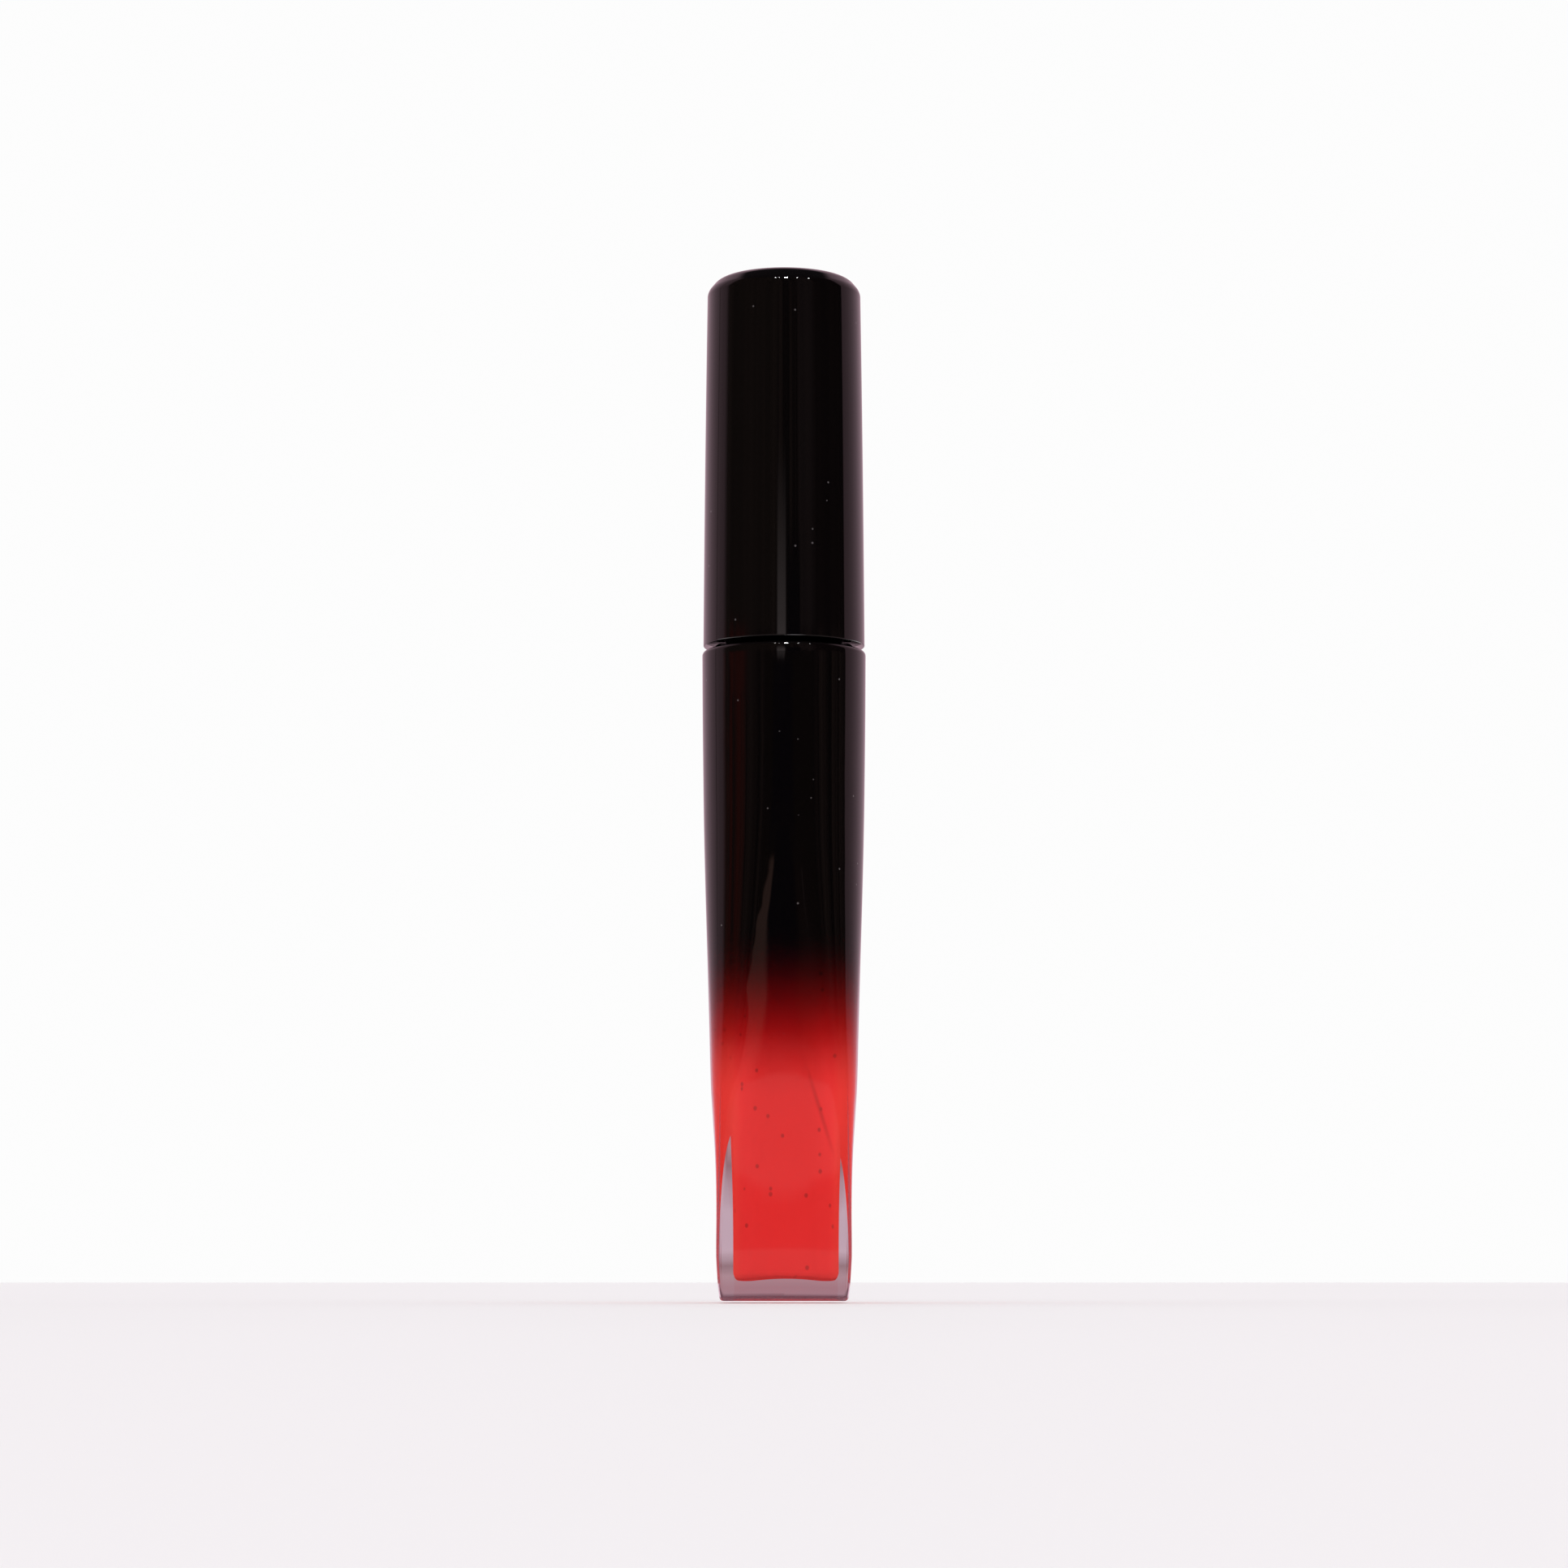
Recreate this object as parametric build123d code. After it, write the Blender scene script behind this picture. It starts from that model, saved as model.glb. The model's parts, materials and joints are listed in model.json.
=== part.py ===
from build123d import *
import os

os.makedirs("parts", exist_ok=True)

# Lip gloss tube: a glass bottle that grows from a square foot to a round shoulder, and a
# screw cap that carries the wand. Millimetres, +Z up, origin on the table under the foot.

# Heights
shoulder_z = 67.1
cap_gap = 0.5
neck_height = 12.0
overall_height = 106.5
neck_top = shoulder_z + neck_height
cap_rim_z = shoulder_z + cap_gap

# Bottle outside: height, width across flats, corner radius
body_stations = [
    (0.0, 13.0, 0.5),
    (1.8, 13.4, 0.55),
    (4.5, 13.75, 0.65),
    (9.2, 13.82, 0.9),
    (14.2, 14.1, 1.4),
    (19.2, 14.71, 2.4),
    (22.0, 15.06, 3.0),
    (28.0, 15.4, 4.2),
    (35.0, 15.82, 5.6),
    (43.0, 16.3, 7.1),
    (50.0, 16.63, 8.0),
    (60.0, 16.9, 8.4),
]
shoulder_radius = 8.5
shoulder_rounding = 0.5
heel_rounding = 0.4
foot_dish = 1.1
foot_dish_radius = 5.3

# Bottle inside: height, width across flats, corner radius
cavity_stations = [
    (2.2, 10.7, 2.4),
    (9.0, 10.75, 2.8),
    (22.0, 11.3, 4.0),
    (35.0, 11.85, 5.3),
    (48.0, 12.4, 6.1),
    (58.0, 12.6, 6.25),
]
cavity_heel = 0.8
push_up = 0.95
push_up_radius = 6.6
throat_z = shoulder_z - 5.2
throat_length = 4.0
fill_level = 60.0
fill_gap = 0.02
wand_bore = 2.3

# Neck and screw thread
neck_radius = 5.25
neck_bore = 4.15
thread_pitch = 2.5
thread_turns = 1.5
thread_depth = 0.4
thread_root = 1.3
thread_crest = 0.6
thread_bite = 0.15
neck_thread_z = shoulder_z + 5.4
liner_thread_z = shoulder_z + 4.4

# Wiper
orifice_radius = 2.15
wiper_fit = 0.05
wiper_wall = 0.7
wiper_flange_radius = 5.1
wiper_flange = 0.75
wiper_funnel_z = shoulder_z + 3.3
wiper_tip_z = shoulder_z - 0.8
wiper_lip = 0.5
wiper_top = neck_top + wiper_flange

# Seal ring
seal_radius = 5.5
seal_bore = 3.8
seal_thickness = 1.4
stack_gap = 0.1

# Cap: shell, threaded liner and weight
rim_radius = 8.39
waist_radius = 8.25
crown_radius = 8.02
crown_drop = 1.43
crown_inset = 1.17
crown_rounding = 0.8
rim_rounding = 0.12
shell_bore = 7.15
shell_top = 1.8
liner_radius = 6.85
liner_bore = 6.1
liner_rim_z = cap_rim_z + 0.5
liner_roof_z = wiper_top + seal_thickness + 2 * stack_gap
liner_roof = 1.6
liner_ribs = 12
rib_width = 0.9
rib_reach = 7.1
boss_radius = 3.8
boss_height = 5.2
weight_radius = 7.05
weight_bore = 5.5
weight_z = liner_roof_z + liner_roof + stack_gap
weight_top = overall_height - shell_top - stack_gap

# Wand
rod_radius = 2.0
rod_fit = 0.03
rod_end_z = 20.05
collar_radius = 3.5
collar_height = 0.9
plug_radius = 2.5
plug_length = 5.5
socket_radius = 1.1
socket_depth = 6.0

# Applicator: a plastic core inside a flocked, slant-cut tip
tip_z = 6.0
tip_top = 20.0
tip_shoulder = 0.5
tip_slant = 24
tip_toe = 0.1
tip_rounding = 1.6
core_top_radius = 1.25
core_end_radius = 0.6
core_end_z = 12.0


def rounded_square(z, width, corner):
    return Plane.XY.offset(z) * RectangleRounded(width, width, corner)


def column(stations, shrink=0.0):
    # Straight-sided skin from station to station, pulled in all round by shrink
    sections = [rounded_square(z, w - 2 * shrink, r - shrink) for z, w, r in stations]
    return loft(sections, ruled=True)


def turned(*points):
    # Solid of revolution about Z from (radius, height) points
    outline = Polyline(*points, close=True)
    return revolve(Plane.XZ * make_face(outline), Axis.Z)


def tube(outer, inner, z0, z1):
    return turned((inner, z0), (outer, z0), (outer, z1), (inner, z1))


def disc(radius, z0, z1):
    return Pos(0, 0, z0) * Cylinder(radius, z1 - z0, align=(Align.CENTER, Align.CENTER, Align.MIN))


def dome(radius, sag, z_top):
    # Ball whose cap of the given sag and radius ends at z_top
    ball = (radius**2 + sag**2) / (2 * sag)
    return Pos(0, 0, z_top - ball) * Sphere(ball)


def thread(radius, z0, side):
    # Helical ridge standing out of a wall of the given radius: side 1 outward, -1 inward
    path = Pos(0, 0, z0) * Helix(thread_pitch, thread_pitch * thread_turns, radius)
    section = Plane(path @ 0, x_dir=(side, 0, 0), z_dir=path % 0) * make_face(
        Polyline(
            (-thread_bite, -thread_root / 2),
            (0, -thread_root / 2),
            (thread_depth, -thread_crest / 2),
            (thread_depth, thread_crest / 2),
            (0, thread_root / 2),
            (-thread_bite, thread_root / 2),
            close=True,
        )
    )
    return sweep(section, path=path, is_frenet=True)


def cavity(shrink=0.0):
    # Inside of the bottle up to the shoulder, with its floor pushed up in the middle
    lower = column(cavity_stations, shrink)
    lower = fillet(lower.edges().group_by(Axis.Z)[0], cavity_heel)
    z_join, width, _ = cavity_stations[-1]
    upper = disc(width / 2 - shrink, z_join, throat_z)
    floor = dome(push_up_radius, push_up, cavity_stations[0][0] + push_up)
    return lower + upper - floor


def glass_bottle():
    z_join, width, _ = body_stations[-1]
    lower = column(body_stations)
    lower = fillet(lower.edges().group_by(Axis.Z)[0], heel_rounding)
    upper = turned((0, z_join), (width / 2, z_join), (shoulder_radius, shoulder_z), (0, shoulder_z))
    upper = fillet(upper.edges().group_by(Axis.Z)[-1], shoulder_rounding)
    neck = disc(neck_radius, shoulder_z - 1, neck_top)
    throat = turned(
        (0, throat_z),
        (cavity_stations[-1][1] / 2, throat_z),
        (neck_bore, throat_z + throat_length),
        (0, throat_z + throat_length),
    )
    bore = disc(neck_bore, throat_z, neck_top + 1)
    outside = lower + upper + neck + thread(neck_radius, neck_thread_z, 1)
    return outside - cavity() - throat - bore - dome(foot_dish_radius, foot_dish, foot_dish)


def gloss_fill():
    liquid = Pos(0, 0, fill_gap) * cavity(fill_gap) & disc(shoulder_radius, 0, fill_level)
    return liquid - disc(wand_bore, tip_z - 0.3, fill_level + 1)


def neck_wiper():
    outer = neck_bore - wiper_fit
    return turned(
        (outer, wiper_funnel_z),
        (orifice_radius + wiper_lip, wiper_tip_z),
        (orifice_radius, wiper_tip_z),
        (orifice_radius, wiper_tip_z + 1.2),
        (outer - wiper_wall, wiper_funnel_z + 0.8),
        (outer - wiper_wall, wiper_top),
        (wiper_flange_radius, wiper_top),
        (wiper_flange_radius, neck_top),
        (outer, neck_top),
    )


def seal_ring():
    return tube(seal_radius, seal_bore, wiper_top + stack_gap, wiper_top + stack_gap + seal_thickness)


def cap_liner():
    roof_top = liner_roof_z + liner_roof
    wall = tube(liner_radius, liner_bore, liner_rim_z, roof_top)
    roof = disc(liner_radius, liner_roof_z, roof_top)
    boss = disc(boss_radius, liner_roof_z, roof_top + boss_height)
    socket = disc(plug_radius + rod_fit, liner_roof_z, liner_roof_z + plug_length + rod_fit)
    rib = Pos(liner_radius, 0, liner_rim_z) * Box(
        2 * (rib_reach - liner_radius),
        rib_width,
        roof_top - liner_rim_z,
        align=(Align.CENTER, Align.CENTER, Align.MIN),
    )
    ribs = [Rot(0, 0, 360 * i / liner_ribs) * rib for i in range(liner_ribs)]
    return wall + roof + boss + ribs + thread(liner_bore, liner_thread_z, -1) - socket


def outer_corners(profile):
    # Corners of a half profile that are off the axis, lowest first
    return profile.vertices().filter_by(lambda corner: corner.X > 1).sort_by(Axis.Y)


def cap_shell():
    # Slightly barrelled wall under a chamfered crown whose edges are rounded
    crown_z = overall_height - crown_drop
    wall = ThreePointArc(
        (rim_radius, cap_rim_z), (waist_radius, (cap_rim_z + crown_z) / 2), (crown_radius, crown_z)
    )
    top = Polyline(
        (crown_radius, crown_z),
        (crown_radius - crown_inset, overall_height),
        (0, overall_height),
        (0, cap_rim_z),
        (rim_radius, cap_rim_z),
    )
    profile = make_face(wall + top)
    profile = fillet(outer_corners(profile)[1:], crown_rounding)
    profile = fillet(outer_corners(profile)[0], rim_rounding)
    shell = revolve(Plane.XZ * profile, Axis.Z)
    return shell - disc(shell_bore, cap_rim_z - 1, overall_height - shell_top)


def cap_weight():
    return tube(weight_radius, weight_bore, weight_z, weight_top)


def wand_rod():
    rod = disc(rod_radius, rod_end_z, liner_roof_z)
    collar = disc(collar_radius, liner_roof_z - collar_height, liner_roof_z)
    plug = disc(plug_radius, liner_roof_z, liner_roof_z + plug_length)
    plug = chamfer(plug.edges().group_by(Axis.Z)[-1], 0.4)
    socket = disc(socket_radius, rod_end_z, rod_end_z + socket_depth)
    return rod + collar + plug - socket


def core_shape(grow=0.0):
    return turned(
        (0, core_end_z - grow),
        (core_end_radius + grow, core_end_z - grow),
        (core_top_radius + grow, tip_top + grow),
        (0, tip_top + grow),
    )


def applicator_core():
    shank = disc(socket_radius - rod_fit, tip_top, rod_end_z + socket_depth - rod_fit)
    return core_shape() + shank


def applicator_flock():
    sleeve = disc(rod_radius, tip_z, tip_top)
    sleeve = fillet(sleeve.edges().group_by(Axis.Z)[-1], tip_shoulder)
    sleeve = fillet(sleeve.edges().group_by(Axis.Z)[0], tip_rounding)
    slant = Pos(tip_toe, 0, tip_z) * Rot(0, -tip_slant, 0) * Box(
        10, 10, 20, align=(Align.MAX, Align.CENTER, Align.CENTER)
    )
    return sleeve - slant - core_shape(rod_fit)


pieces = [
    glass_bottle,
    gloss_fill,
    neck_wiper,
    seal_ring,
    cap_liner,
    cap_shell,
    cap_weight,
    wand_rod,
    applicator_core,
    applicator_flock,
]
for piece in pieces:
    export_step(piece(), f"parts/{piece.__name__}.step")
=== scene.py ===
import json
from math import cos, pi, radians, sin

import bmesh
import bpy
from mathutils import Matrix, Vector

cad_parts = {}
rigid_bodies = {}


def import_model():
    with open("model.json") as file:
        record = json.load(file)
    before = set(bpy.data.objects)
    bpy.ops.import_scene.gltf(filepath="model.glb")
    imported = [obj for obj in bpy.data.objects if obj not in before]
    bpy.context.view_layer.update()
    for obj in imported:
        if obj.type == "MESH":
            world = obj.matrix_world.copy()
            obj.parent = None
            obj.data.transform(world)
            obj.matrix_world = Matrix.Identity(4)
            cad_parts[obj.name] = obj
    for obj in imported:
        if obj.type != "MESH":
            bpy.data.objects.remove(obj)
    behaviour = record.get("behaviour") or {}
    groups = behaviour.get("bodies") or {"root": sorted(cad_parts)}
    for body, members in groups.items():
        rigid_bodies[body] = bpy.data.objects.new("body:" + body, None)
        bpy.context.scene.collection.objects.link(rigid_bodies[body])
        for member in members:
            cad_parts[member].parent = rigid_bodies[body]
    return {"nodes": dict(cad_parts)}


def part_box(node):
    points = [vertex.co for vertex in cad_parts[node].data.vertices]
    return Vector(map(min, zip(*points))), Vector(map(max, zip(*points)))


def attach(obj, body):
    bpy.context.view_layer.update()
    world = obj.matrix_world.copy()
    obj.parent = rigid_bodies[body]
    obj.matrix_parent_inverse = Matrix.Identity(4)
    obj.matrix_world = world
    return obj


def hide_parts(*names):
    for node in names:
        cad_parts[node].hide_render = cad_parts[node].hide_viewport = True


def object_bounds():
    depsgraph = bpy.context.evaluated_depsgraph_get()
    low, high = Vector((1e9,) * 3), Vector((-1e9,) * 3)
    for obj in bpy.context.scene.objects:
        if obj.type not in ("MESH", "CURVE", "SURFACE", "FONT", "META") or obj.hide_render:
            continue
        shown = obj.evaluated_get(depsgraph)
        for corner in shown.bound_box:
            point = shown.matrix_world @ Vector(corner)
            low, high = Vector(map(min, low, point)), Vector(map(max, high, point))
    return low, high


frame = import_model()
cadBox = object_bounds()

mm = 0.001
nodes = frame["nodes"]
bottleFoot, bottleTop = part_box("glass_bottle")
fillFloor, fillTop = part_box("gloss_fill")
capRim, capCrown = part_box("cap_shell")
middle = (cadBox[0] + cadBox[1]) / 2


class Value:  # a socket that can stand in a sum: each operator adds its Math node
    def __init__(self, board, socket):
        self.board = board
        self.socket = socket

    def __add__(self, other):
        return self.board.math("ADD", self, other)

    def __radd__(self, other):
        return self.board.math("ADD", other, self)

    def __sub__(self, other):
        return self.board.math("SUBTRACT", self, other)

    def __rsub__(self, other):
        return self.board.math("SUBTRACT", other, self)

    def __mul__(self, other):
        return self.board.math("MULTIPLY", self, other)

    def __rmul__(self, other):
        return self.board.math("MULTIPLY", other, self)

    def __neg__(self):
        return self.board.math("MULTIPLY", self, -1)

    def __abs__(self):
        return self.board.math("ABSOLUTE", self)


class Board:  # one node tree and what is laid on it
    def __init__(self, owner):
        owner.use_nodes = True
        self.owner = owner
        self.tree = owner.node_tree
        self.tree.nodes.clear()

    def add(self, kind, settings=None, sockets=None, out=0):
        node = self.tree.nodes.new(kind)
        for key, setting in (settings or {}).items():
            if key == "stops":
                self.setStops(node.color_ramp, setting)
            else:
                setattr(node, key, setting)
        for key, value in (sockets or {}).items():
            if isinstance(value, Value):
                self.tree.links.new(value.socket, node.inputs[key])
            else:
                node.inputs[key].default_value = value
        return Value(self, node.outputs[out]) if len(node.outputs) else None

    def setStops(self, ramp, stops):
        while len(ramp.elements) < len(stops):
            ramp.elements.new(0.5)
        for element, (place, shade) in zip(ramp.elements, stops):
            element.position = place
            element.color = (*shade, 1) if isinstance(shade, tuple) else (shade, shade, shade, 1)

    def math(self, operation, *values):
        return self.add("ShaderNodeMath", {"operation": operation}, dict(enumerate(values)))

    def place(self):
        return self.add("ShaderNodeTexCoord", out="Object")

    def axis(self, vector, letter):
        return self.add("ShaderNodeSeparateXYZ", sockets={0: vector}, out=letter)

    def stretch(self, vector, scale):
        return self.add("ShaderNodeMapping", sockets={"Vector": vector, "Scale": scale})

    def noise(self, vector, scale, detail=3.0, roughness=0.5):
        return self.add(
            "ShaderNodeTexNoise", None,
            {"Vector": vector, "Scale": scale, "Detail": detail, "Roughness": roughness},
        )

    def smooth(self, value, start, end, toStart=0.0, toEnd=1.0):
        return self.add(
            "ShaderNodeMapRange", {"interpolation_type": "SMOOTHSTEP"},
            {"Value": value, "From Min": start, "From Max": end, "To Min": toStart, "To Max": toEnd},
        )

    def blend(self, factor, first, second):
        return self.add(
            "ShaderNodeMix", {"data_type": "RGBA"}, {0: factor, 6: first, 7: second}, out=2
        )

    def bell(self, value, centre, spread):  # 1 at the centre, 0 a spread away on either side
        return self.smooth(abs(value - centre), spread, 0)

    def flecks(self, vector, scale, reach, share):  # round specks in a small share of the cells
        cell = self.add("ShaderNodeTexVoronoi", None, {"Vector": vector, "Scale": scale}, out="Distance")
        chance = self.axis(Value(self, cell.socket.node.outputs["Color"]), "X")
        return self.smooth(cell, reach, reach * 0.5) * self.smooth(chance, 1 - share, 1.002 - share)

    def pair(self, first, second):  # two values as a flat vector for a pattern
        return self.add("ShaderNodeCombineXYZ", None, {0: first, 1: second})

    def reach(self, vector):  # distance from the upright axis
        across, along = self.axis(vector, "X"), self.axis(vector, "Y")
        return self.math("SQRT", across * across + along * along)

    def bump(self, height, strength, distance, **over):  # distance in millimetres
        return self.add(
            "ShaderNodeBump", None,
            {"Height": height, "Strength": strength, "Distance": distance * mm, **over},
        )

    def surface(self, **sockets):
        named = {key.replace("_", " "): value for key, value in sockets.items()}
        return self.add("ShaderNodeBsdfPrincipled", None, named)

    def mix(self, factor, first, second):
        return self.add("ShaderNodeMixShader", None, {0: factor, 1: first, 2: second})

    def finish(self, shader, kind="ShaderNodeOutputMaterial"):
        self.add(kind, None, {"Surface": shader})
        return self.owner


def newMaterial(name):
    return Board(bpy.data.materials.new(name))


def colour(red, green, blue):
    return (red, green, blue, 1.0)


def deselectAll():
    for thing in bpy.context.scene.objects:
        thing.select_set(False)


def makeActive(piece):
    deselectAll()
    piece.select_set(True)
    bpy.context.view_layer.objects.active = piece


def startPiece(name):  # the primitive just added becomes the named piece, open for editing
    piece = bpy.context.object
    piece.name = piece.data.name = name
    bpy.ops.object.transform_apply(location=True, rotation=True, scale=True)
    bpy.ops.object.mode_set(mode="EDIT")
    bpy.ops.mesh.select_mode(type="EDGE")
    return piece


def endPiece(piece, angle=40):
    bpy.ops.mesh.select_all(action="SELECT")
    bpy.ops.mesh.remove_doubles(threshold=1e-7)
    bpy.ops.mesh.normals_make_consistent(inside=False)
    bpy.ops.mesh.select_all(action="DESELECT")
    bpy.ops.object.mode_set(mode="OBJECT")
    bpy.ops.object.shade_smooth_by_angle(angle=radians(angle))
    return piece


def pickEdges(piece, wanted):
    mesh = bmesh.from_edit_mesh(piece.data)
    bpy.ops.mesh.select_all(action="DESELECT")
    for edge in mesh.edges:
        if wanted(*(vert.co for vert in edge.verts)):
            edge.select_set(True)
    bmesh.update_edit_mesh(piece.data)


slack = 2e-6  # how far a vertex may stand off the height it belongs to


def level(height, reach=None):  # test for edges that lie at one height and radius
    def wanted(start, end):
        flat = abs(start.z - height) < slack and abs(end.z - height) < slack
        return flat and (reach is None or abs(start.xy.length - reach) < slack * 10)
    return wanted


def grow(rise, scale=1.0):  # extrude the selected ring or face upward, then widen it
    bpy.ops.mesh.extrude_region_move(TRANSFORM_OT_translate={"value": (0, 0, rise)})
    if scale != 1.0:
        bpy.ops.transform.resize(value=(scale, scale, 1), center_override=(0, 0, 0))


def applyAll(piece):
    makeActive(piece)
    for modifier in list(piece.modifiers):
        bpy.ops.object.modifier_apply(modifier=modifier.name)


def evenShading(piece):
    piece.modifiers.new("evenShading", "WEIGHTED_NORMAL").keep_sharp = True
    applyAll(piece)


def turnPiece(name, outline, steps):  # rings of (radius, height) drawn from one disc, then closed
    deselectAll()
    radius, height = outline[0]
    bpy.ops.mesh.primitive_circle_add(
        vertices=steps, radius=radius, location=(0, 0, height), fill_type="NGON"
    )
    piece = startPiece(name)
    bpy.ops.mesh.select_all(action="SELECT")
    for nextRadius, nextHeight in outline[1:]:
        grow(nextHeight - height, nextRadius / radius)
        radius, height = nextRadius, nextHeight
    return piece


def combine(piece, tool, operation):  # join the tool to the piece or cut it away
    job = piece.modifiers.new(tool.name, "BOOLEAN")
    job.operation = operation
    job.object = tool
    job.solver = "EXACT"
    applyAll(piece)
    bpy.data.objects.remove(tool)


def carveDome(piece, reach, sag, height):  # hollow the underside with a low dome that starts at a height
    ball = (reach**2 + sag**2) / (2 * sag)
    deselectAll()
    bpy.ops.mesh.primitive_uv_sphere_add(
        segments=160, ring_count=320, radius=ball, location=(0, 0, height + sag - ball)
    )
    combine(piece, endPiece(startPiece("dome")), "DIFFERENCE")


def squareColumn(name, stations, cornerSteps, crown=0.0, crownFrom=1.0):
    # rounded squares, their sides slightly crowned above the foot, bridged into an open column
    deselectAll()
    rings = []
    for height, width, corner in stations:
        bpy.ops.mesh.primitive_plane_add(size=width, location=(0, 0, height))
        ring = startPiece("ring")
        bpy.ops.mesh.select_all(action="SELECT")
        bpy.ops.mesh.bevel(offset=corner, segments=cornerSteps, affect="VERTICES")
        bpy.ops.mesh.select_all(action="SELECT")
        bpy.ops.mesh.delete(type="ONLY_FACE")
        if crown:
            pickEdges(ring, lambda a, b: min(abs(a.x - b.x), abs(a.y - b.y)) < 1e-7)
            bpy.ops.mesh.subdivide(number_cuts=5)
            bpy.ops.mesh.select_all(action="SELECT")
            bpy.ops.transform.tosphere(value=crown * min(1.0, (height / crownFrom) ** 2))
            mesh = bmesh.from_edit_mesh(ring.data)
            grown = 2 * max(vert.co.x for vert in mesh.verts)
            bpy.ops.transform.resize(value=(width / grown, width / grown, 1), center_override=(0, 0, 0))
        bpy.ops.object.mode_set(mode="OBJECT")
        rings.append(ring)
    for ring in rings:
        ring.select_set(True)
    bpy.ops.object.join()
    column = startPiece(name)
    bpy.ops.mesh.select_all(action="SELECT")
    bpy.ops.mesh.bridge_edge_loops()
    return column


def between(stations, count):  # the stations joined by a smooth curve and cut into even steps
    def slope(i, k):
        before, after = stations[max(i - 1, 0)], stations[min(i + 1, len(stations) - 1)]
        return (after[k] - before[k]) / (after[0] - before[0])

    def at(height):
        i = max(j for j in range(len(stations) - 1) if stations[j][0] <= height)
        start, end = stations[i], stations[i + 1]
        span = end[0] - start[0]
        t = (height - start[0]) / span
        values = []
        for k in (1, 2):
            values.append(
                (2 * t**3 - 3 * t**2 + 1) * start[k] + (t**3 - 2 * t**2 + t) * span * slope(i, k)
                + (3 * t**2 - 2 * t**3) * end[k] + (t**3 - t**2) * span * slope(i + 1, k)
            )
        return height, *values

    first, last = stations[0][0], stations[-1][0]
    return [at(first + (last - first) * i / count) for i in range(count + 1)]


def edgeRings(height, width, corner, rounding, steps, side):  # rounds a foot (1) or a shoulder (-1)
    rings = []
    for i in range(steps + 1):
        bend = pi / 2 * i / steps
        inset = rounding * (1 - sin(bend))
        rings.append((
            height + side * rounding * (1 - cos(bend)), width - 2 * inset,
            max(corner - inset, corner * 0.3),
        ))
    return rings[::side]


def scaled(stations, factor=mm):
    return [tuple(value * factor for value in station) for station in stations]


bottle = {
    "stations": [  # height, width across the flats, corner radius
        (0.0, 13.08, 0.38), (0.65, 13.16, 0.38), (1.8, 13.4, 0.4), (3.2, 13.6, 0.42),
        (4.5, 13.75, 0.46), (9.2, 13.82, 0.66), (14.2, 14.1, 1.2), (19.2, 14.71, 2.2),
        (22.0, 15.06, 2.9), (28.0, 15.4, 4.2), (35.0, 15.82, 5.6), (43.0, 16.3, 7.1),
        (50.0, 16.63, 8.0), (60.0, 16.9, 8.38), (67.1, 17.0, 8.44),
    ],
    "rings": 60, "cornerSteps": 24, "faceCrown": 0.3, "crownFrom": 30.0,
    "shoulderRound": 0.5, "shoulderSteps": 10, "heelRound": 0.45, "heelSteps": 6,
    "punt": 0.6, "puntReach": 5.3,
    "neckRadius": 5.25, "neckBore": 4.15, "neckSteps": 128,
    "throatDrop": 1.2, "chamberDrop": 5.2, "chamber": 6.3,
    "pitch": 2.5, "turns": 1.5, "threadRise": 5.4, "threadDepth": 0.4,
    "threadRoot": 1.3, "threadCrest": 0.6, "threadBite": 0.15,
}


def makeThread(name, spec):  # a ridge of trapezoid section wound round the neck
    deselectAll()
    depth = spec["threadDepth"] + spec["threadBite"]
    centre = spec["neckRadius"] - spec["threadBite"] + depth / 2
    start = (spec["stations"][-1][0] + spec["threadRise"]) * mm
    bpy.ops.mesh.primitive_plane_add(
        size=mm, location=(centre * mm, 0, start), rotation=(pi / 2, 0, 0)
    )
    bpy.context.object.scale = (depth, spec["threadRoot"], 1)
    ridge = startPiece(name)
    outer = (centre + depth / 2) * mm
    pickEdges(ridge, lambda a, b: abs(a.x - outer) < 1e-6 and abs(b.x - outer) < 1e-6)
    bpy.ops.transform.resize(
        value=(1, 1, spec["threadCrest"] / spec["threadRoot"]),
        center_override=(outer, 0, start),
    )
    bpy.ops.mesh.select_all(action="SELECT")
    bpy.ops.mesh.delete(type="ONLY_FACE")
    bpy.ops.object.mode_set(mode="OBJECT")
    winding = ridge.modifiers.new("winding", "SCREW")
    winding.angle = spec["turns"] * 2 * pi
    winding.screw_offset = spec["pitch"] * spec["turns"] * mm
    winding.steps = winding.render_steps = int(72 * spec["turns"])
    applyAll(ridge)
    bpy.ops.object.mode_set(mode="EDIT")
    bpy.ops.mesh.select_mode(type="EDGE")
    bpy.ops.mesh.select_all(action="DESELECT")
    bpy.ops.mesh.select_non_manifold()
    bpy.ops.mesh.fill_holes(sides=4)
    return endPiece(ridge, 30)


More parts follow.
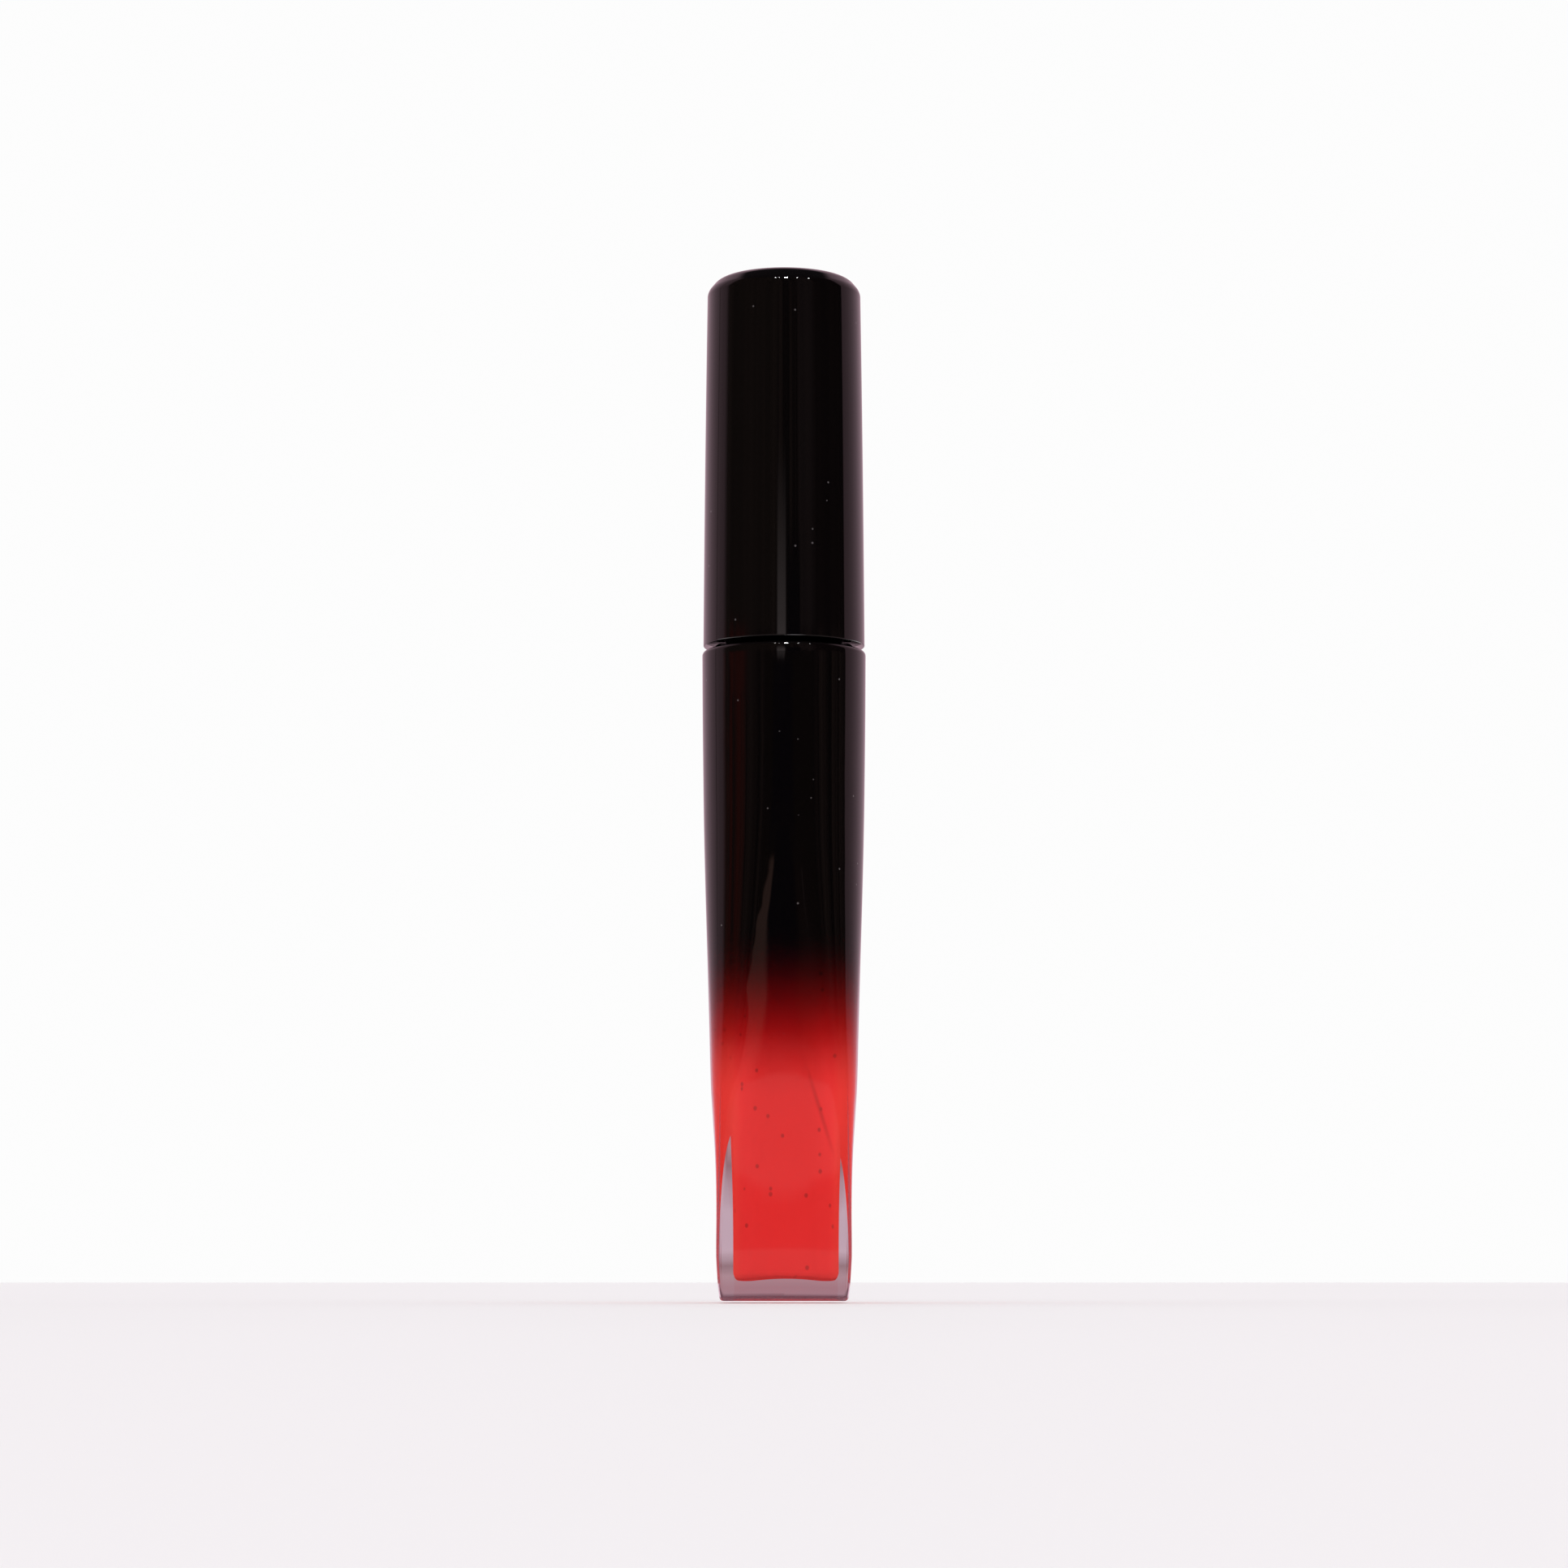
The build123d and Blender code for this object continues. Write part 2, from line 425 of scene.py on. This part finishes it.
def makeBottle(spec):
    heel = edgeRings(*spec["stations"][0], spec["heelRound"], spec["heelSteps"], 1)
    shoulder = edgeRings(*spec["stations"][-1], spec["shoulderRound"], spec["shoulderSteps"], -1)
    wall = between(scaled(spec["stations"]), spec["rings"])[1:-1]
    piece = squareColumn(
        "bottleGlass", scaled(heel) + wall + scaled(shoulder), spec["cornerSteps"],
        spec["faceCrown"], spec["crownFrom"] * mm,
    )
    foot, top = bottleFoot.z, spec["stations"][-1][0] * mm
    for height in (foot, top):
        pickEdges(piece, level(height))
        bpy.ops.mesh.edge_face_add()
    endPiece(piece, 50)
    neckRadius, bore, chamber = (spec[key] * mm for key in ("neckRadius", "neckBore", "chamber"))
    neck = turnPiece("neck", [(neckRadius, top - mm), (neckRadius, bottleTop.z)], spec["neckSteps"])
    combine(piece, endPiece(neck), "UNION")
    combine(piece, makeThread("neckThread", spec), "UNION")
    hollow = turnPiece("hollow", [
        (chamber, fillTop.z - 0.1 * mm), (chamber, top - spec["chamberDrop"] * mm),
        (bore, top - spec["throatDrop"] * mm), (bore, bottleTop.z + mm),
    ], spec["neckSteps"])
    combine(piece, endPiece(hollow), "DIFFERENCE")
    carveDome(piece, spec["puntReach"] * mm, spec["punt"] * mm, foot)
    evenShading(piece)
    return piece


print("glass bottle")
bottleGlass = makeBottle(bottle)
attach(bottleGlass, "bottle")
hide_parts("glass_bottle")


gloss = {
    "stations": [  # height, width across the flats, corner radius
        (2.2, 10.7, 2.4), (9.0, 10.75, 2.8), (22.0, 11.3, 4.0), (35.0, 11.85, 5.3),
        (48.0, 12.4, 6.1), (58.0, 12.6, 6.25), (60.0, 12.6, 6.29),
    ],
    "rings": 40, "cornerSteps": 16, "heelRound": 0.8, "pushUp": 0.95, "pushUpReach": 6.6,
    "offCentre": 0.2,  # the wall is a little thicker on one side
}


def makeGloss(spec):
    piece = squareColumn(
        "glossFill", between(scaled(spec["stations"]), spec["rings"]), spec["cornerSteps"]
    )
    floor, top = spec["stations"][0][0] * mm, spec["stations"][-1][0] * mm
    for height in (floor, top):
        pickEdges(piece, level(height))
        bpy.ops.mesh.edge_face_add()
    pickEdges(piece, level(floor))
    bpy.ops.mesh.bevel(offset=spec["heelRound"] * mm, segments=8, affect="EDGES")
    endPiece(piece, 60)
    carveDome(piece, spec["pushUpReach"] * mm, spec["pushUp"] * mm, floor)
    piece.location.x = spec["offCentre"] * mm
    bpy.ops.object.transform_apply(location=True, rotation=False, scale=False)
    evenShading(piece)
    return piece


print("gloss")
glossFill = makeGloss(gloss)
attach(glossFill, "bottle")
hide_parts("gloss_fill")


cap = {
    "rimRadius": 8.39, "waistRadius": 8.25, "crownRadius": 8.02,
    "crownDrop": 1.43, "crownInset": 1.17, "lowerRound": 0.42, "upperRound": 0.8,
    "rimRound": 0.12, "bore": 7.15, "roof": 1.8, "steps": 160, "rings": 20,
}


def makeCap(spec):
    rim, top = capRim.z, capCrown.z
    crown = top - spec["crownDrop"] * mm
    wall = []
    for i in range(spec["rings"] + 1):  # a slight barrel through the rim, waist and crown radii
        t = i / spec["rings"]
        radius = (
            spec["crownRadius"] * (1 - t) * (1 - 2 * t)
            + spec["waistRadius"] * 4 * t * (1 - t) + spec["rimRadius"] * t * (2 * t - 1)
        )
        wall.append((radius * mm, crown + (rim - crown) * t))
    inner = [(spec["bore"] * mm, rim), (spec["bore"] * mm, top - spec["roof"] * mm)]
    crownEdge = ((spec["crownRadius"] - spec["crownInset"]) * mm, top)
    piece = turnPiece("capShell", [crownEdge] + wall + inner, spec["steps"])
    for height, offset, steps in ((top, "upperRound", 10), (crown, "lowerRound", 10), (rim, "rimRound", 4)):
        pickEdges(piece, level(height, spec["rimRadius"] * mm if height == rim else None))
        bpy.ops.mesh.bevel(offset=spec[offset] * mm, segments=steps, affect="EDGES")
    endPiece(piece)
    evenShading(piece)
    return piece


print("cap")
capShell = makeCap(cap)
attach(capShell, "cap")
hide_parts("cap_shell")


lacquer = {  # lengths in millimetres, a pair is where a soft edge starts and ends
    "black": colour(0.0016, 0.0010, 0.0010), "roughness": 0.03, "dust": colour(0.30, 0.27, 0.27),
    "fade": (20.4, 38.4), "grain": 1.2, "drift": 1.0,
    "maskedTop": (69.2, 68.6), "maskedReach": (6.0, 6.6), "neckTop": (69.6, 70.8),
    "clear": colour(1, 0.985, 0.99), "thin": colour(0.92, 0.28, 0.33), "thinShare": (0.06, 0.36),
    # a pink tint and a reddish matt colour at the glass corners and heel: a painted reflection of the red
    # gloss
    "cornerEdge": (6.38, 6.56), "heelEdge": (0.6, 0.2), "edgeReflectionTint": colour(0.80, 0.66, 0.72),
    "paintedEdgeReflection": colour(0.34, 0.11, 0.145), "paintedEdgeShare": 0.55,
    "milky": colour(0.66, 0.62, 0.60), "milkyShare": 0.6,
}


def lacqueredGlass(spec):  # clear heavy glass, sprayed black from the shoulder down to a soft fade
    board = newMaterial("lacqueredGlass")

    def softly(value, name):
        return board.smooth(value, *(edge * mm for edge in spec[name]))

    place = board.place()
    across, along, height = (board.axis(place, letter) for letter in "XYZ")
    mist = (board.noise(place, 9000.0, 2.0) - 0.5) * spec["grain"] * mm
    drift = (board.noise(place, 260.0, 2.0) - 0.5) * spec["drift"] * mm
    masked = softly(height + mist, "maskedTop")
    body = softly(board.reach(place), "maskedReach")
    cover = softly(height + mist + drift, "fade") * board.math("MAXIMUM", masked, body)
    # the corners and heel get a painted reflection of the red gloss, as a pink tint in the glass and a
    # reddish matt layer
    corner = softly(board.math("MINIMUM", abs(across), abs(along)), "cornerEdge")
    edge = board.math("MAXIMUM", corner, softly(height, "heelEdge"))
    # the thinnest lacquer tints the glass before it hides what is behind
    streaks = (board.noise(place, 420.0, 2.0) - 0.5) * 0.3
    veil = board.blend(board.smooth(cover + streaks, *spec["thinShare"]), spec["clear"], spec["thin"])
    glass = board.surface(
        Base_Color=board.blend(edge, veil, spec["edgeReflectionTint"]), Roughness=0.0, IOR=1.5,
        Transmission_Weight=1.0,
    )
    # reddish matt layer on the corners and heel: a painted reflection of the red gloss
    paintedEdgeReflection = board.surface(Base_Color=spec["paintedEdgeReflection"], Roughness=0.3)
    milky = board.surface(Base_Color=spec["milky"], Roughness=0.06)  # the wiper behind the neck
    dust = board.flecks(place, 660.0, 0.09, 0.36)
    coat = board.surface(
        Base_Color=board.blend(dust * 0.3, spec["black"], spec["dust"]),
        Roughness=spec["roughness"], IOR=1.5,
        Normal=board.bump(board.noise(place, 220.0, 1.0), 0.06, 0.4),
    )
    shader = board.mix(edge * spec["paintedEdgeShare"], glass, paintedEdgeReflection)
    shader = board.mix(softly(height + mist, "neckTop") * spec["milkyShare"], shader, milky)
    return board.finish(board.mix(cover, shader, coat))


redGel = {  # lengths in millimetres
    "red": colour(0.90, 0.038, 0.036), "bright": colour(0.93, 0.046, 0.044),
    # side: a painted sheen, lighter and more orange towards both sides of the fill
    "fleck": colour(0.22, 0.02, 0.02), "side": colour(0.97, 0.075, 0.055), "sideSheenReach": (4.3, 5.3),
    "streak": colour(0.45, 0.02, 0.02), "streakFrom": (1.7, 25.5), "streakSlope": 0.309,
    "streakWidth": 0.35, "streakMiddle": 19.4, "streakHalf": 6.6,
}


def redGloss(spec):  # dense red gel with a few darker flecks and one settled streak
    board = newMaterial("redGloss")
    place = board.place()
    across, along, height = (board.axis(place, letter) for letter in "XYZ")
    tone = board.blend(board.noise(place, 160.0, 3.0), spec["red"], spec["bright"])
    specks = board.flecks(board.stretch(place, (1, 1, 0.8)), 800.0, 0.20, 0.40)
    tone = board.blend(specks * 0.45, tone, spec["fleck"])
    # lighter and more orange towards both sides of the fill: a painted sheen
    sideways = abs(across - gloss["offCentre"] * mm)
    side = board.smooth(sideways, *(reach * mm for reach in spec["sideSheenReach"]))
    tone = board.blend(side * 0.5, tone, spec["side"])
    startAcross, startHeight = (value * mm for value in spec["streakFrom"])
    line = across - (startHeight - height) * spec["streakSlope"] - startAcross
    streak = board.bell(line, 0.0, spec["streakWidth"] * mm)
    streak = streak * board.bell(height, spec["streakMiddle"] * mm, spec["streakHalf"] * mm)
    streak = streak * board.smooth(along, 0, -mm)
    tone = board.blend(streak * 0.45, tone, spec["streak"])
    return board.finish(board.surface(Base_Color=tone, Roughness=0.4, Specular_IOR_Level=0.0))


def blackGloss():
    board = newMaterial("blackGloss")
    place = board.place()
    smear = board.noise(board.stretch(place, (1, 1, 0.25)), 240.0, 4.0)
    dust = board.flecks(place, 660.0, 0.09, 0.36)
    scratch = board.flecks(board.stretch(place, (1, 1, 0.16)), 520.0, 0.07, 0.12)
    tone = board.blend(
        dust * 0.3 + scratch * 0.2, colour(0.0016, 0.0011, 0.0011), colour(0.30, 0.27, 0.28)
    )
    return board.finish(board.surface(
        Base_Color=tone, Roughness=board.smooth(smear, 0.4, 0.8, 0.015, 0.045), IOR=1.5,
    ))


def wiperPlastic():  # milky soft plastic, wet with gloss round the orifice
    board = newMaterial("wiperPlastic")
    place = board.place()
    streak = board.noise(board.stretch(place, (1, 1, 0.3)), 900.0, 3.0)
    film = board.smooth(board.reach(place) + (streak - 0.5) * 1.4 * mm, 4.0 * mm, 2.9 * mm)
    tone = board.blend(film, colour(0.80, 0.77, 0.74), colour(0.62, 0.035, 0.04))
    return board.finish(board.surface(
        Base_Color=tone, Roughness=board.smooth(film, 0, 1, 0.42, 0.12),
        Normal=board.bump(streak, 0.2, 0.1),
    ))


def sealRubber():  # pale foam, stained where the gloss creeps in
    board = newMaterial("sealRubber")
    place = board.place()
    foam = board.noise(place, 5200.0, 4.0)
    stain = board.smooth(board.reach(place) + (foam - 0.5) * 1.2 * mm, 5.0 * mm, 4.2 * mm)
    pale = board.blend(foam, colour(0.66, 0.65, 0.63), colour(0.80, 0.79, 0.77))
    tone = board.blend(stain * 0.45, pale, colour(0.60, 0.08, 0.08))
    return board.finish(board.surface(
        Base_Color=tone, Roughness=0.8, Normal=board.bump(foam, 0.5, 0.1),
    ))


def turnedSteel():
    board = newMaterial("turnedSteel")
    place = board.place()
    bands = board.noise(board.stretch(place, (0.02, 0.02, 1)), 9000.0, 2.0)
    scuff = board.noise(place, 700.0, 4.0)
    tone = board.blend(scuff, colour(0.50, 0.49, 0.47), colour(0.62, 0.61, 0.59))
    return board.finish(board.surface(
        Base_Color=tone, Metallic=1.0, Roughness=board.smooth(scuff, 0.3, 0.7, 0.22, 0.4),
        Normal=board.bump(bands, 0.35, 0.05),
    ))


def linerPlastic():  # moulded black polypropylene, satin with faint flow marks
    board = newMaterial("linerPlastic")
    place = board.place()
    grain = board.noise(place, 4200.0, 3.0)
    flow = board.noise(board.stretch(place, (1, 1, 0.2)), 500.0, 3.0)
    tone = board.blend(flow, colour(0.012, 0.012, 0.013), colour(0.022, 0.021, 0.022))
    return board.finish(board.surface(
        Base_Color=tone, Roughness=board.smooth(flow, 0.3, 0.7, 0.32, 0.48),
        Normal=board.bump(grain, 0.15, 0.05),
    ))


def rodPlastic():  # black rod with a thin film of gloss left on its lower half
    board = newMaterial("rodPlastic")
    place = board.place()
    height = board.axis(place, "Z")
    runs = board.noise(board.stretch(place, (1, 1, 0.12)), 1100.0, 3.0)
    film = board.smooth(height + (runs - 0.5) * 30 * mm, 36 * mm, 22 * mm)
    tone = board.blend(film * 0.85, colour(0.008, 0.007, 0.007), colour(0.58, 0.03, 0.035))
    return board.finish(board.surface(
        Base_Color=tone, Roughness=board.smooth(film, 0, 1, 0.22, 0.08),
        Normal=board.bump(runs, 0.25, 0.15),
    ))


def corePlastic():
    board = newMaterial("corePlastic")
    flow = board.noise(board.stretch(board.place(), (1, 1, 0.2)), 900.0, 3.0)
    tone = board.blend(flow, colour(0.78, 0.74, 0.72), colour(0.86, 0.83, 0.80))
    return board.finish(board.surface(
        Base_Color=tone, Roughness=board.smooth(flow, 0.3, 0.7, 0.3, 0.45),
    ))


def wetFlock():  # short nylon pile, matted and loaded with gloss
    board = newMaterial("wetFlock")
    place = board.place()
    pile = board.noise(place, 9000.0, 2.0)
    clumps = board.noise(board.stretch(place, (1, 1, 0.35)), 1500.0, 3.0)
    tone = board.blend(clumps, colour(0.36, 0.012, 0.014), colour(0.66, 0.026, 0.03))
    coat = board.bump(clumps, 0.7, 0.25)
    return board.finish(board.surface(
        Base_Color=tone, Roughness=0.5, Coat_Weight=board.smooth(clumps, 0.35, 0.6, 0.3, 1.0),
        Coat_Roughness=0.08, Sheen_Weight=0.05, Normal=board.bump(pile, 0.6, 0.08, Normal=coat),
    ))


print("materials")
finishes = {
    "neck_wiper": wiperPlastic(), "seal_ring": sealRubber(), "cap_weight": turnedSteel(),
    "cap_liner": linerPlastic(), "wand_rod": rodPlastic(), "applicator_core": corePlastic(),
    "applicator_flock": wetFlock(),
}
for name, finish in finishes.items():
    nodes[name].data.materials.clear()
    nodes[name].data.materials.append(finish)
bottleGlass.data.materials.append(lacqueredGlass(lacquer))
glossFill.data.materials.append(redGloss(redGel))
capShell.data.materials.append(blackGloss())


studio = {
    "eyeDistance": 0.450, "eyeHeight": 0.002, "frameWidth": 0.1627,
    "lampDistance": 1.2,
    "lamps": [  # turn from the front, rise, size, power
        (4, 52, 0.090, 8.0), (-16, 52, 0.03, 0.4), (-9, 53, 0.02, 0.15),
        (25, 51, 0.03, 0.4), (47, 50, 0.03, 0.4),
    ],
}

room = {  # what the gloss mirrors: spans turn from the front, tops and feet rise, all in degrees
    "folds": (colour(0.008, 0.007, 0.010), colour(0.095, 0.064, 0.058)), "highFrom": (8.2, 9.2),
    "high": [
        {"span": (46, 94, 3), "share": 0.8, "shade": colour(0.018, 0.010, 0.013)},
        {"span": (21, 44, 3), "share": 0.6, "shade": colour(0.105, 0.075, 0.078)},
        {"span": (-86, -10, 3), "share": 0.5, "shade": colour(0.075, 0.056, 0.045)},
    ],
    "smear": {
        "span": (-102, -54, 5), "top": (9.5, 8.2), "foot": (2.4, 3.6), "share": 0.8,
        "shade": colour(0.26, 0.045, 0.035),
    },
    "far": [
        {"span": (5, 23, 1.5), "top": (11.5, 9.5), "shade": colour(0.004, 0.005, 0.014)},
        {"span": (-9.5, 2.5, 1.5), "top": (12.5, 8.0), "shade": colour(0.66, 0.56, 0.56)},
        {"span": (-26, 40, 2), "top": (8.0, 7.2), "shade": colour(0.022, 0.016, 0.015)},
    ],
    "leaf": {  # its left edge leans
        "lean": 34, "left": (-125, -119), "right": (-5.5, -8.5), "top": (3.4, 2.8),
        "shade": colour(0.34, 0.19, 0.16),
    },
    "near": [
        {"span": (16.6, 17.4, 0.5), "top": (3.6, 3.0), "shade": colour(0.30, 0.24, 0.24)},
        {"span": (7, 34, 4), "top": (5.0, 0.5), "shade": colour(0.05, 0.03, 0.03)},
        {"span": (-15, 11, 1.5), "top": (7.6, 7.0), "foot": (3.2, 4.2), "shade": colour(0.004, 0.005, 0.016)},
        {"span": (-8, 6, 1.5), "top": (4.2, 3.2), "shade": colour(0.004, 0.005, 0.016)},
    ],
    "tableEdge": (-0.7, -1.7), "tableWave": 1.6, "table": colour(0.34, 0.28, 0.28),
    "rightWall": (95.8, 97.4), "leftWall": (89, 99), "leftGap": (112.6, 1.6), "wallFade": (97, 150),
    "walls": (colour(0.38, 0.245, 0.285), colour(0.70, 0.475, 0.56)),
    "ceilingRise": (0.76, 0.86), "ceiling": colour(0.035, 0.03, 0.036),
    "stripShare": (0.72, 0.95), "stripTop": (-5.5, -9), "strips": colour(2.2, 2.1, 2.15),
    "sidewaysFade": (166, 150), "sideways": colour(0.80, 0.60, 0.71),  # seen through clear corners
    "soft": (colour(0.92, 0.91, 0.92), colour(1.35, 1.32, 1.34)),
    "inner": (colour(0.95, 0.92, 0.92), colour(1.6, 1.5, 1.52)),
    "backdrop": colour(0.98, 0.98, 0.98),
}


def makeFloor():
    deselectAll()
    bpy.ops.mesh.primitive_plane_add(size=12, location=(0, 0, cadBox[0].z - 0.2 * mm))
    floor = bpy.context.object
    floor.name = "floor"
    board = newMaterial("paleFloor")
    cloud = board.noise(board.place(), 6.0, 2.0)
    tone = board.blend(cloud, colour(0.88, 0.875, 0.88), colour(0.90, 0.895, 0.90))
    floor.data.materials.append(board.finish(board.surface(Base_Color=tone, Roughness=0.7)))
    floor.visible_glossy = False
    floor.visible_transmission = False


def degreeRamp(sky, value, start, end):  # a soft step along an angle, its ends in degrees
    return sky.smooth(value, radians(start), radians(end))


def frontRoom(sky, turn, tilt, spec):  # curtains of brown and navy over a pale table, all quite dark
    def span(start, end, soft):
        return degreeRamp(sky, turn, start - soft, start + soft) * degreeRamp(
            sky, turn, end + soft, end - soft)

    def patch(part):  # how far a direction lies inside this part of the room
        inside = span(*part["span"]) * degreeRamp(sky, tilt, *part["top"])
        return inside * degreeRamp(sky, tilt, *part["foot"]) if "foot" in part else inside

    folds = sky.noise(sky.pair(turn, tilt * 0.15), 9.0, 3.0, 0.6)
    tone = sky.blend(sky.smooth(folds, 0.35, 0.68), *spec["folds"])
    upper = degreeRamp(sky, tilt, *spec["highFrom"])
    for part in spec["high"]:
        tone = sky.blend(span(*part["span"]) * upper * part["share"], tone, part["shade"])
    smear = spec["smear"]
    blots = sky.smooth(sky.noise(sky.pair(turn, tilt * 2.0), 6.0, 3.0, 0.6), 0.36, 0.62)
    tone = sky.blend(blots * patch(smear) * smear["share"], tone, smear["shade"])
    for part in spec["far"]:
        tone = sky.blend(patch(part), tone, part["shade"])
    leaf = spec["leaf"]
    inside = degreeRamp(sky, turn - tilt * leaf["lean"], *leaf["left"])
    inside = inside * degreeRamp(sky, turn, *leaf["right"]) * degreeRamp(sky, tilt, *leaf["top"])
    tone = sky.blend(inside, tone, leaf["shade"])
    for part in spec["near"]:
        tone = sky.blend(patch(part), tone, part["shade"])
    edge = tilt + (folds - 0.5) * radians(spec["tableWave"])
    return sky.blend(degreeRamp(sky, edge, *spec["tableEdge"]), tone, spec["table"])


def behindGlass(sky, turn, tilt):  # what shows through the clear foot: mauve, with a darker low line
    streak = sky.noise(sky.pair(turn, tilt * 6.0), 7.0, 3.0, 0.6)
    lift = sky.add("ShaderNodeMapRange", None, {
        "Value": tilt + (streak - 0.5) * radians(0.9), "From Min": radians(-2), "From Max": radians(9),
    })
    return sky.add("ShaderNodeValToRGB", {"stops": [
        (0.0, (0.50, 0.35, 0.42)), (0.28, (0.54, 0.385, 0.455)), (0.47, (0.27, 0.155, 0.18)),
        (0.56, (0.40, 0.24, 0.275)), (0.68, (0.36, 0.19, 0.225)), (0.75, (0.36, 0.20, 0.24)),
        (0.81, (0.11, 0.05, 0.07)), (1.0, (0.10, 0.05, 0.07)),
    ]}, {0: lift})


def makeWorld(spec):  # a pale room behind, a dim one in front, and even soft light on what is matt
    sky = Board(bpy.context.scene.world or bpy.data.worlds.new("room"))
    bpy.context.scene.world = sky.owner
    away = sky.add("ShaderNodeTexCoord", out="Generated")
    across, depth, rise = (sky.axis(away, letter) for letter in "XYZ")
    turn = sky.math("ARCTAN2", across, -depth)
    swing = abs(turn)
    tilt = sky.math("ARCSINE", rise)
    # what polished faces mirror
    gapCentre, gapReach = (radians(value) for value in spec["leftGap"])
    right = degreeRamp(sky, turn, *spec["rightWall"])
    left = degreeRamp(sky, -turn, *spec["leftWall"]) * (1 - 0.6 * sky.bell(-turn, gapCentre, gapReach))
    wall = sky.blend(degreeRamp(sky, swing, *spec["wallFade"]), *spec["walls"])
    mirrored = sky.blend(right + left, frontRoom(sky, turn, tilt, spec), wall)
    mirrored = sky.blend(sky.smooth(rise, *spec["ceilingRise"]), mirrored, spec["ceiling"])
    wave = sky.math("SINE", turn * 3 + 0.6)
    strips = sky.smooth(wave, *spec["stripShare"]) * degreeRamp(sky, tilt, *spec["stripTop"])
    mirrored = sky.blend(strips, mirrored, spec["strips"])
    # what shows through clear glass, and the plain light on everything else
    sideways = degreeRamp(sky, swing, *spec["sidewaysFade"])
    through = sky.blend(sideways, behindGlass(sky, turn, tilt), spec["sideways"])
    soft = sky.blend(sky.smooth(depth, -0.4, 0.8), *spec["soft"])
    inner = sky.blend(sky.smooth(depth, -0.6, 0.4), *spec["inner"])
    path = sky.add("ShaderNodeLightPath", out="Is Camera Ray")
    isCamera, isGlossy, isTransmission, diffuseDepth = (
        Value(sky, path.socket.node.outputs[name])
        for name in ("Is Camera Ray", "Is Glossy Ray", "Is Transmission Ray", "Diffuse Depth")
    )
    clean = sky.smooth(diffuseDepth, 0.6, 0.4)
    shade = sky.blend(isTransmission * (1 - clean), soft, inner)
    shade = sky.blend(isGlossy * clean, shade, mirrored)
    shade = sky.blend(isTransmission * clean, shade, through)  # refracted rays count as glossy too
    shade = sky.blend(isCamera, shade, spec["backdrop"])
    sky.finish(sky.add("ShaderNodeBackground", None, {"Color": shade}), "ShaderNodeOutputWorld")


def makeLamps(spec):
    for i, (turn, rise, size, power) in enumerate(spec["lamps"]):
        lamp = bpy.data.lights.new(f"lamp{i}", "AREA")
        lamp.shape = "DISK"
        lamp.size = size
        lamp.energy = power
        holder = bpy.data.objects.new(f"lamp{i}", lamp)
        bpy.context.collection.objects.link(holder)
        flat = cos(radians(rise))
        aim = Vector((sin(radians(turn)) * flat, -cos(radians(turn)) * flat, sin(radians(rise))))
        holder.location = middle + aim * spec["lampDistance"]
        holder.rotation_euler = aim.to_track_quat("Z", "Y").to_euler()
        holder.visible_diffuse = holder.visible_transmission = False  # they only make highlights


def makeCamera(spec):
    eye = bpy.data.cameras.new("eye")
    eye.sensor_width = 36
    camera = bpy.data.objects.new("eye", eye)
    bpy.context.collection.objects.link(camera)
    camera.location = (0, -spec["eyeDistance"], spec["eyeHeight"])
    look = middle - camera.location
    camera.rotation_euler = look.to_track_quat("-Z", "Y").to_euler()
    eye.lens = eye.sensor_width * look.length / spec["frameWidth"]
    eye.clip_start = 0.01
    bpy.context.scene.camera = camera
    bpy.context.scene.view_settings.view_transform = "Standard"


print("studio")
makeFloor()
makeWorld(room)
makeLamps(studio)
makeCamera(studio)
